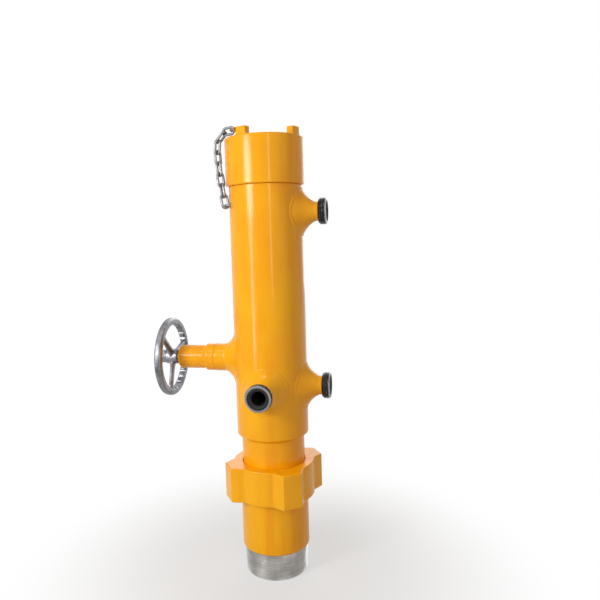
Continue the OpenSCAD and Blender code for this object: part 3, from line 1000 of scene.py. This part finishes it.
@dataclass
class StopPin:
    """The stop pin's boss, gland and bonnet, and the pin with its screwed stem."""

    base_r: float = 91.0
    boss_r: float = 53.0
    rise: float = 36.0
    neck: float = 42.0
    lip: float = 3.0
    bore_r: float = 25.05
    collar_at: float = 214.5
    bonnet_at: float = 256.5
    bonnet_end: float = 364.5
    bonnet_r: float = 45.0
    bonnet_nose: float = 14.0
    bonnet_wall: float = 34.0
    pin_r: float = 25.0
    pin_tip: float = -2.0
    pin_back: float = 210.5
    stem_r: float = 16.0
    stem_depth: float = 2.6
    stem_pitch: float = 6.0
    tip_r: float = 12.0
    tip_depth: float = 1.7
    tip_pitch: float = 3.0
    stem_end: float = 451.5

    def collar(self) -> Shape:
        """Turns the gland collar.

        Returns:
            The collar along Z.
        """
        low, high, outer = self.collar_at, self.bonnet_at, self.boss_r - 1
        return Shape.turned([
            (self.bore_r, low), (outer - 2, low, 1.0), (outer, low + 2, 1.0), (outer, high - 8, 1.5),
            (self.bonnet_r + 1, high, 1.0), (self.bore_r, high)], 112)

    def bonnet(self) -> Shape:
        """Turns the bonnet with its rounded nose and the mouth round the stem.

        Returns:
            The bonnet along Z.
        """
        end, inner, mouth = self.bonnet_end, self.pin_r + 2, self.stem_r + 1.05
        cavity = end - self.bonnet_wall
        return Shape.turned([
            (inner, self.bonnet_at), (self.bonnet_r, self.bonnet_at, 1.0),
            (self.bonnet_r, end, self.bonnet_nose), (self.stem_r + 3.5, end, 0.8), (mouth, end - 3, 0.5),
            (mouth, cavity), (inner, cavity)], 112, segments=10)

    def pin(self) -> Shape:
        """Turns the pin and cuts the threads of its stem.

        Returns:
            The pin along Z.
        """
        steps, pin, stem, tip = 64, self.pin_r, self.stem_r, self.tip_r
        start, back, end = self.pin_tip, self.pin_back, self.stem_end
        low, high, crest = back + 18, HUB_AT - 4, stem - 0.1
        tip_low, tip_high = HUB_END + 3, end - 2
        shape = Shape.turned([
            (0, start), (pin - 6, start, 1.5), (pin, start + 8, 2.0), (pin, back, 1.0), (stem, back + 4, 1.0),
            (stem, low - 3, 0.5), (crest - 3, low - 0.5)], steps, closed=False)
        shape.join(Shape.thread(crest, self.stem_depth, self.stem_pitch, low, high, steps, 2))
        shape.bridge(low - 0.6, low + 0.1).join(Shape.turned([
            (crest - 3, high + 0.5), (stem, high + 2, 0.5), (stem, HUB_END, 0.5), (tip, HUB_END),
            (tip, tip_low - 2), (tip - 2, tip_low - 0.5)], steps, closed=False))
        shape.bridge(high - 0.1, high + 0.6)
        shape.join(Shape.thread(tip, self.tip_depth, self.tip_pitch, tip_low, tip_high, steps))
        shape.bridge(tip_low - 0.6, tip_low + 0.1).join(Shape.turned([
            (tip - 2, tip_high + 0.4), (tip - 3.5, end, 0.5), (0, end)], steps, closed=False))
        return shape.bridge(tip_high - 0.1, tip_high + 0.5).close_up()

    def dress(self) -> None:
        """Hands over the fixed pieces and the pin."""
        place = toward(PIN_SIDE, PIN_HEIGHT)
        boss = Flare(self.base_r, self.boss_r, self.rise, self.neck, self.bore_r, self.lip).build()
        hand_over("pin_boss_flare", boss.place(place), "stop_pin_boss")
        hand_over("gland_ring", self.collar().place(place), "gland_collar")
        hand_over("bonnet_sleeve", self.bonnet().place(place), "stem_bonnet")
        hand_over("pin_and_stem", self.pin().place(place), "stop_pin", FINISHES.stem, Body.PIN)


@dataclass
class Handwheel:
    """The cast wheel with its scalloped rim, and the nut that holds it."""

    outer_r: float = 152.5
    rim: Triple = (27.0, 27.0, 8.0)
    rim_at: float = 400.5
    scallops: int = 27
    scallop_r: float = 9.0
    scallop_depth: float = 6.0
    scallop_steps: int = 14
    hub_r: float = 29.0
    bore_r: float = 16.05
    spoke: Triple = (30.0, 22.0, 15.0)
    spoke_turn: float = 45.0
    spoke_sides: int = 28
    spoke_slices: int = 20
    spoke_square: float = 0.85
    spoke_in: float = 8.0
    spoke_out: float = 9.0
    root_spread: Pair = (9.0, 7.0)
    root_swell: Pair = (0.22, 0.3)
    washer_t: float = 5.0
    nut_t: float = 20.0
    nut_flats: float = 46.0
    nut_bore: float = 12.05

    def ring(self) -> Shape:
        """Turns the rim and cuts the finger scallops inside it.

        Returns:
            The rim.
        """
        width, thick, corner = self.rim
        inner, low, high = self.outer_r - width, self.rim_at - thick / 2, self.rim_at + thick / 2
        section = [(inner, low), (self.outer_r, low), (self.outer_r, high), (inner, high)]
        steps = self.scallops * self.scallop_steps
        shape = Shape.turned([(*at, corner) for at in section], steps, segments=6)
        centre = inner + self.scallop_depth - self.scallop_r
        gap = math.tau / self.scallops

        def scoop(p: Vector) -> Vector:
            """Pushes a point out of the nearest scallop.

            Args:
                p: A point of the plain rim.

            Returns:
                Its new place.
            """
            off = (math.atan2(p.y, p.x) % gap) - gap / 2
            side = centre * math.sin(off)
            if abs(side) >= self.scallop_r:
                return p
            edge = centre * math.cos(off) + math.sqrt(self.scallop_r ** 2 - side * side)
            return Shape.at_radius(p, max(edge, reach(p)))

        return shape.reshape(scoop)

    def arm(self, angle: float) -> Shape:
        """Draws out one oval spoke, thicker where it joins the hub and the rim.

        Args:
            angle: Its direction in the wheel.

        Returns:
            The spoke.
        """
        start, stop = self.hub_r - self.spoke_in, self.outer_r - self.rim[0] + self.spoke_out
        wide, narrow, thick = self.spoke
        middle = (HUB_AT + HUB_END) / 2
        slices = [i / self.spoke_slices for i in range(self.spoke_slices + 1)]
        shape = Shape.turned([(1.0, at) for at in slices], self.spoke_sides, closed=False).fill()

        def draw(p: Vector) -> Vector:
            """Lays a point of the unit tube along the spoke.

            Args:
                p: The point.

            Returns:
                Its place on the spoke.
            """
            along = start + (stop - start) * p.z
            gaps = (along - self.hub_r, stop - self.spoke_out - along)
            root = sum(math.exp(-max(gap, 0.0) / spread) for gap, spread in zip(gaps, self.root_spread))
            halves = ((wide + (narrow - wide) * p.z) / 2, thick / 2)
            across, out = (math.copysign(abs(at) ** self.spoke_square, at) * (half * (1 + swell * root))
                           for at, half, swell in zip(p.xy, halves, self.root_swell))
            return Vector((along, across, middle + (self.rim_at - middle) * p.z + out))

        return shape.reshape(draw).place(turn(angle))

    def casting(self) -> Shape:
        """Joins the rim, the spokes and the hub.

        Returns:
            The wheel.
        """
        shape = self.ring()
        for index in range(3):
            shape.join(self.arm(90 - self.spoke_turn - 120 * index))
        return shape.join(Shape.turned([
            (self.bore_r, HUB_AT, 0.5), (self.hub_r, HUB_AT, 3.0), (self.hub_r, HUB_END, 3.0),
            (self.bore_r, HUB_END, 0.5)], 96, segments=5))

    def washer(self) -> Shape:
        """Turns the washer.

        Returns:
            The washer.
        """
        bore, outer, top = self.nut_bore, self.hub_r - 2, HUB_END + self.washer_t
        return Shape.turned([(bore, HUB_END), (outer, HUB_END, 0.5), (outer, top, 1.2), (bore, top, 0.5)], 72)

    def nut(self) -> Shape:
        """Turns a chamfered blank and mills six flats on it.

        Returns:
            The nut.
        """
        low = HUB_END + self.washer_t
        high = low + self.nut_t
        point = self.nut_flats / math.sqrt(3)
        flat = self.nut_flats / 2 - 0.6
        drop = (point - flat) * math.tan(math.radians(30))
        slope = [(flat + (point - flat) * i / 6, drop * i / 6) for i in range(7)]
        shape = Shape.turned([
            (self.nut_bore, low, 0.8), *[(r, low + d) for r, d in slope],
            *[(r, high - d) for r, d in reversed(slope)], (self.nut_bore, high, 0.8)], 96)

        def mill(p: Vector) -> Vector:
            """Keeps a point inside the six flats."""
            off = (math.atan2(p.y, p.x) % (math.pi / 3)) - math.pi / 6
            return Shape.at_radius(p, min(reach(p), self.nut_flats / 2 / math.cos(off)))

        return shape.reshape(mill)

    def dress(self) -> None:
        """Hands over the wheel, the washer and the nut."""
        place, chrome = toward(PIN_SIDE, PIN_HEIGHT), FINISHES.chrome
        hand_over("wheel_casting", self.casting().place(place), "handwheel", chrome, Body.WHEEL)
        hand_over("wheel_washer", self.washer().place(place), "hub_washer", chrome, Body.WHEEL)
        hand_over("wheel_nut", self.nut().place(place), "hub_nut", chrome, Body.WHEEL, crease=25.0)


@dataclass
class QuickUnion:
    """The neck, the wing nut, the union sub and the threaded casing nipple."""

    bore_r: float = 108.0
    neck_r: float = 119.5
    thread_r: float = 128.5
    sub_r: float = 129.5
    socket_r: float = 121.4
    nipple_r: float = 122.25
    sub_low: float = 103.0
    socket_top: float = 211.0
    nut_low: float = 305.0
    face: float = 374.0
    lip: float = 402.0
    nut_top: float = 436.0
    nut_r: float = 155.0
    nut_edge: float = 3.5
    nut_rings: Pair = (5.0, 1.5)
    lug_reach: float = 187.0
    lug_tip: float = 72.0
    lug_root: float = 124.0
    lug_round: float = 2.5
    lug_azimuth: float = 33.0
    pitch: float = 3.175
    thread_depth: float = 1.7
    bevel: float = 4.2
    bevel_slope: float = 0.6
    taper: float = 32.0

    def inside(self, p: Vector) -> bool:
        """Tells the bore's wall."""
        return reach(p) < self.bore_r + 1

    def neck(self) -> Shape:
        """Turns the neck with its hidden flange and a small fillet under the body.

        Returns:
            The neck.
        """
        bore, neck, flange = self.bore_r, self.neck_r, self.thread_r
        return Shape.turned([
            (bore, self.face, 1.0), (flange, self.face, 1.0), (flange, self.lip, 1.0), (neck, self.lip),
            (neck, BODY_LOW - 7, 3.0), (neck + 5, BODY_LOW), (bore, BODY_LOW)], LATHE_STEPS).line(self.inside)

    def star(self) -> Outline:
        """Draws the wing nut's outline.

        Returns:
            The x, y and rounding of each corner.
        """
        half_root, half_tip = self.lug_root / 2, self.lug_tip / 2
        foot = math.sqrt(self.nut_r ** 2 - half_root ** 2)
        lug = [(foot, -half_root), (self.lug_reach, -half_tip), (self.lug_reach, half_tip), (foot, half_root)]
        half = math.asin(half_root / self.nut_r)
        gap = math.pi / 2 - 2 * half
        points = []
        for index in range(4):
            base = math.radians(self.lug_azimuth - 90 + 90 * index)
            points += [(*(Matrix.Rotation(base, 2) @ Vector(at)), self.lug_round) for at in lug]
            for step in range(1, 12):
                at = base + half + gap * step / 12
                points.append((self.nut_r * math.cos(at), self.nut_r * math.sin(at), 0.0))
        return points

    def nut(self) -> Shape:
        """Draws up the lugged outline with rounded edges and closes it with the bore.

        Returns:
            The wing nut.
        """
        shape, star = Shape(), self.star()
        low, top, edge = self.nut_low, self.nut_top, self.nut_edge
        corners = [shape.bm.verts.new((x, y, low)) for x, y, _ in star]
        shape.string(corners, True)
        for vert, (_, _, rounding) in zip(corners, star):
            if rounding > 0:
                shape.soften([vert], rounding, 6)
        arc = [math.pi / 2 * k / 5 for k in range(6)]
        side = [(0.0, edge + ring) for ring in self.nut_rings]
        side += [(edge * (1 - math.cos(t)), edge * (1 - math.sin(t))) for t in arc] + [(3 * edge, 0.0)]
        levels = [(low + rise, inset) for rise, inset in side]
        levels += [(top - rise, inset) for rise, inset in reversed(side)]
        last = levels[0][1]
        for v in shape.bm.verts:
            v.co = Shape.at_radius(v.co, v.co.to_2d().length - last)
        rim = list(shape.bm.edges)
        for height, inset in levels[1:]:
            grown = bmesh.ops.extrude_edge_only(shape.bm, edges=rim)["geom"]
            rim = only(BMEdge, grown)
            for v in only(BMVert, grown):
                v.co = Shape.at_radius(v.co, v.co.to_2d().length + last - inset)
                v.co.z = height
            last = inset
        thread, neck = self.thread_r, self.neck_r
        shape.join(Shape.turned([
            (thread + 8, low), (thread + 4, low), (thread + 2.5, low), (thread + 0.3, low + 2.2),
            (thread + 0.3, self.lip), (neck + 1.5, self.lip), (neck + 1.5, top - 2, 0.4), (neck + 3.5, top),
            (neck + 5, top), (neck + 9, top)], LATHE_STEPS, closed=False))
        return shape.bridge(low - NEAR, low + NEAR).bridge(top - NEAR, top + NEAR).close_up()

    def sub(self) -> Shape:
        """Turns the union sub.

        Returns:
            The sub.
        """
        low, top, seat = self.sub_low, self.nut_low, self.face - 0.3
        return Shape.turned([
            (self.socket_r, low, 0.6), (self.sub_r - 5, low, 1.2), (self.sub_r, low + 5, 2.0),
            (self.sub_r, top - 2, 0.6), (self.thread_r, top - 1), (self.thread_r, seat, 1.0),
            (self.bore_r, seat, 1.0), (self.bore_r, self.socket_top, 0.5), (self.socket_r, self.socket_top)],
            LATHE_STEPS).line(self.inside)

    def nipple(self) -> Shape:
        """Cuts the tapered casing thread and closes it with the bore.

        Returns:
            The nipple.
        """
        top, end = self.sub_low + 2, self.nipple_r - self.bevel
        plain = self.socket_r - 0.2

        def bevelled(h: float) -> float:
            """Largest radius at a height."""
            return min(self.nipple_r, end + h * self.bevel_slope)

        shape = Shape.thread(self.nipple_r, self.thread_depth, self.pitch, 0.0, top, 128, limit=bevelled)
        shape.reshape(lambda p: Shape.at_radius(p, reach(p) - (top - p.z) / self.taper))
        shape.join(Shape.turned([
            (self.socket_r - 2.5, top + 0.5), (plain, top + 3), (plain, self.socket_top, 0.5),
            (self.bore_r, self.socket_top, 0.5), (self.bore_r, 0, 1.5), (end - top / self.taper - 1, 0)],
            128, closed=False))
        return shape.bridge(-NEAR, NEAR).bridge(top - NEAR, top + 0.51).close_up()

    def dress(self) -> None:
        """Hands over the four pieces."""
        hand_over("neck_sleeve", self.neck(), "union_neck")
        hand_over("lugged_wing_nut", self.nut(), "wing_nut", FINISHES.struck)
        hand_over("union_sub_sleeve", self.sub(), "union_sub")
        hand_over("threaded_nipple", self.nipple(), "casing_nipple", FINISHES.bare, crease=50.0)


@dataclass
class SafetyChain:
    """The chain that keeps the cap with the body, and its two eyes."""

    wire: float = 9.5
    link_in: float = 40.0
    link_out: float = 33.0
    clear: float = 0.25
    drops: Sequence[float] = (2, 42, 84, 94, 97, 99, 101, 102)
    azimuth: float = -23.0
    lug_r: float = 130.0
    lug_w: float = 43.0
    eye_reach: float = 25.0
    eye_r: float = 13.0
    eye_z: float = 1668.5
    body_r: float = BODY_R
    sides: int = 14
    bow_steps: int = 12
    sunk: Pair = (2.0, 3.0)

    def heading(self, index: int) -> Vector:
        """Gives the direction of a link."""
        drop = math.radians(self.drops[index])
        return level(self.azimuth - 90) * math.cos(drop) - UP * math.sin(drop)

    def eye_tip(self) -> Vector:
        """Gives the tip of the cap's eye."""
        out = level(self.azimuth - 90) * (self.lug_w / 2 + self.eye_reach)
        return level(self.azimuth) * self.lug_r + out + UP * self.eye_z

    def run(self) -> list[tuple[Vector, Vector]]:
        """Hangs the links one in another.

        Returns:
            Each link's middle and direction, and at last the tip of the body's eye and the last link's end.
        """
        arm = (self.link_in + self.wire) / 2
        bite = self.wire + self.clear
        at = self.eye_tip()
        found = []
        for index in range(len(self.drops)):
            start = at - self.heading(index - index % 2) * bite
            at = start + self.heading(index) * 2 * arm
            found.append(((start + at) / 2, self.heading(index)))
        return [*found, (at - self.heading(len(self.drops) - 1) * bite, at)]

    def ring(self, x: float, y: float) -> Shape:
        """Starts a wire with its round section, square to X.

        Args:
            x: Place of the section along X.
            y: Place of the section along Y.

        Returns:
            The section.
        """
        shape = Shape()
        bmesh.ops.create_circle(shape.bm, segments=self.sides, radius=self.wire / 2)
        return shape.place(Matrix.Translation((x, y, 0)) @ turn(90, "Y"))

    @staticmethod
    def draw(shape: Shape, rim: list[BMEdge], length: float) -> list[BMEdge]:
        """Draws the wire's open end along X.

        Args:
            shape: The wire under way.
            rim: Edges of its open end.
            length: How far it runs.

        Returns:
            Edges of the new end.
        """
        grown = bmesh.ops.extrude_edge_only(shape.bm, edges=rim)["geom"]
        bmesh.ops.translate(shape.bm, vec=(length, 0, 0), verts=only(BMVert, grown))
        return only(BMEdge, grown)

    def bow(self, shape: Shape, rim: list[BMEdge], x: float) -> list[BMEdge]:
        """Bends the wire's open end half round.

        Args:
            shape: The wire under way.
            rim: Edges of its open end.
            x: Place of the bend's middle.

        Returns:
            Edges of the new end.
        """
        points = {v for e in rim for v in e.verts}
        last = bmesh.ops.spin(shape.bm, geom=[*points, *rim], cent=(x, 0, 0), axis=UP, dvec=(0, 0, 0),
                              angle=math.pi, steps=self.bow_steps)["geom_last"]
        return only(BMEdge, last)

    def link(self) -> Shape:
        """Bends one closed link.

        Returns:
            The link, its length along X.
        """
        radius = (self.link_out - self.wire) / 2
        arm = (self.link_in + self.wire) / 2 - radius
        shape = self.ring(-arm, -radius)
        end = self.draw(shape, list(shape.bm.edges), 2 * arm)
        end = self.draw(shape, self.bow(shape, end, arm), -2 * arm)
        self.bow(shape, end, -arm)
        return shape.close_up(2 * NEAR)

    def eye(self, leg: float) -> Shape:
        """Bends a U-shaped eye.

        Args:
            leg: Length of its legs.

        Returns:
            The eye, its legs along -X and the tip of its bow at the origin.
        """
        shape = self.ring(-self.eye_r - leg, -self.eye_r)
        end = self.draw(shape, list(shape.bm.edges), leg)
        self.draw(shape, self.bow(shape, end, -self.eye_r), -leg)
        return shape.fill()

    def collars(self, leg: float) -> Shape:
        """Turns the two small welds at an eye's feet.

        Args:
            leg: Length of the eye's legs.

        Returns:
            Both welds.
        """
        both, r = Shape(), self.wire / 2
        for side in (-1, 1):
            weld = Shape.turned([(r - 1, 0), (r + 3.2, 0), (r + 2.6, 1.8, 0.8), (r - 1, 4.2)], 28)
            foot = Matrix.Translation((-self.eye_r - leg, side * self.eye_r, 0))
            both.join(weld.place(foot @ turn(90, "Y")))
        return both

    def dress(self) -> None:
        """Hands over the links, the eyes and the eyes' welds."""
        *links, (tip, end) = self.run()
        outward = -Vector((-end.x, -end.y, 0)).normalized()
        last = math.degrees(math.atan2(end.x, -end.y))
        chain = Shape()
        for index, (middle, along) in enumerate(links):
            twist = 0.0 if index < 2 else (last - self.azimuth) * (index - 1) / (len(links) - 2)
            side = level(self.azimuth + twist)
            side = (side - along * side.dot(along)).normalized()
            flat = side if index % 2 == 0 else along.cross(side)
            chain.join(self.link().place(laid(middle, along, flat)))
        hand_over("chain_links", chain, "safety_chain", FINISHES.zinc)
        foot = math.sqrt(self.body_r ** 2 - self.eye_r ** 2)
        legs = (self.eye_reach - self.eye_r, tip.to_2d().length - self.eye_r - foot)
        places = (laid(self.eye_tip(), level(self.azimuth - 90), UP), laid(tip, outward, UP))
        welds = Shape()
        for name, leg, sunk, place in zip(("cap", "body"), legs, self.sunk, places):
            hand_over(f"{name}_eye", self.eye(leg + sunk).place(place), f"{name}_chain_eye", FINISHES.zinc)
            welds.join(self.collars(leg).place(place))
        hand_over("eye_welds", welds, None)


@dataclass(frozen=True)
class Lamp:
    """One soft lamp, with its azimuth from the front, its size in metres and its power in watts."""

    name: str
    azimuth: float
    distance: float
    height: float
    size: Pair
    power: float
    tint: Colour = WHITE
    aim: float = 0.95

    def hang(self) -> None:
        """Hangs the lamp so that it faces the middle of the head."""
        data = bpy.data.lights.new(self.name, "AREA")
        data.shape = "RECTANGLE"
        data.size, data.size_y = self.size
        data.energy, data.color = self.power, self.tint
        lamp = linked(self.name, data)
        lamp.location = level(self.azimuth) * self.distance + UP * self.height
        lamp.rotation_euler = (UP * self.aim - lamp.location).to_track_quat("-Z", "Y").to_euler()


@dataclass(frozen=True)
class Studio:
    """Camera, lamps, floor and backdrop."""

    azimuth: float = 12.83
    distance: float = 2.197
    height: float = 1.266
    yaw: float = 0.3
    pitch: float = -5.61
    roll: float = 1.8
    lens: float = 34.97
    sensor: float = 36.0
    shift: Pair = (0.0465, 0.001)
    floor: Colour = (0.6, 0.6, 0.6)
    floor_r: float = 30.0
    floor_shown: float = 0.45
    floor_fade: Pair = (0.25, 1.1)
    air: Colour = (1.0, 0.87, 0.74)
    ambient: float = 0.28
    lamps: Sequence[Lamp] = (
        Lamp("window", -37.0, 2.5, 1.4, (0.34, 2.2), 21.0, (0.94, 0.97, 1.0)),
        Lamp("bar", -36.0, 2.5, 1.76, (0.9, 0.56), 22.0, (1.0, 0.97, 0.97)),
        Lamp("strip", 24.0, 2.9, 1.7, (0.12, 1.8), 7.0),
        Lamp("top", -14.0, 1.6, 3.4, (1.8, 0.26), 12.0),
        Lamp("side", 58.0, 2.8, 1.8, (1.6, 2.0), 6.0, (1.0, 0.68, 0.36)),
        Lamp("back", 178.0, 2.9, 2.2, (3.0, 3.0), 45.0))

    def camera(self) -> None:
        """Stands the camera at the photograph's place."""
        data = bpy.data.cameras.new("camera")
        data.lens, data.sensor_width = self.lens, self.sensor
        data.shift_x, data.shift_y = self.shift
        camera = linked("camera", data)
        camera.location = level(self.azimuth) * self.distance + UP * self.height
        facing = turn(self.azimuth - self.yaw) @ turn(90 + self.pitch, "X") @ turn(-self.roll)
        camera.rotation_euler = facing.to_euler()
        bpy.context.scene.camera = camera

    def lay_floor(self) -> None:
        """Lays the floor, which turns white away from the head."""
        shape = Shape()
        bmesh.ops.create_circle(shape.bm, cap_ends=True, segments=96, radius=self.floor_r)
        floor = linked("floor", shape.mesh("floor"))
        w = Wiring(bpy.data.materials.new("floor_paper"))
        away = w.node("ShaderNodeVectorMath", {"operation": "LENGTH"}, {0: w.place()}, "Value")
        paper = w.node("ShaderNodeBsdfDiffuse", inputs={"Color": self.floor})
        glow = w.node("ShaderNodeEmission", inputs={"Color": WHITE, "Strength": 1.0})
        white = w.seen() * (w.step(away, *self.floor_fade) * self.floor_shown + (1 - self.floor_shown))
        both = w.node("ShaderNodeMixShader", inputs={0: white, 1: paper, 2: glow})
        w.node("ShaderNodeOutputMaterial", inputs={"Surface": both})
        floor.data.materials.append(w.holder)

    def light_world(self) -> None:
        """Lights the world softly and shows it as a white background."""
        w = Wiring(bpy.data.worlds.new("studio"))
        light = w.node("ShaderNodeBackground", inputs={"Color": self.air, "Strength": self.ambient})
        shown = w.node("ShaderNodeBackground", inputs={"Color": WHITE, "Strength": 1.0})
        both = w.node("ShaderNodeMixShader", inputs={0: w.seen(), 1: light, 2: shown})
        w.node("ShaderNodeOutputWorld", inputs={"Surface": both})
        bpy.context.scene.world = w.holder

    def build(self) -> None:
        """Sets the whole stage."""
        self.camera()
        self.lay_floor()
        self.light_world()
        for lamp in self.lamps:
            lamp.hang()
        bpy.context.scene.view_settings.view_transform = "Standard"


def main() -> None:
    """Builds the stage and every sub-assembly."""
    logging.basicConfig(level=logging.INFO, format="%(name)s %(message)s")
    Studio().build()
    Container().dress()
    for side, azimuth, height in (
            ("upper", 90.0, HIGH_OUTLET), ("lower", 90.0, LOW_OUTLET), ("front", 0.0, LOW_OUTLET)):
        SideOutlet(side, azimuth, height).dress()
    StopPin().dress()
    Handwheel().dress()
    QuickUnion().dress()
    SafetyChain().dress()


if __name__ == "__main__":
    main()
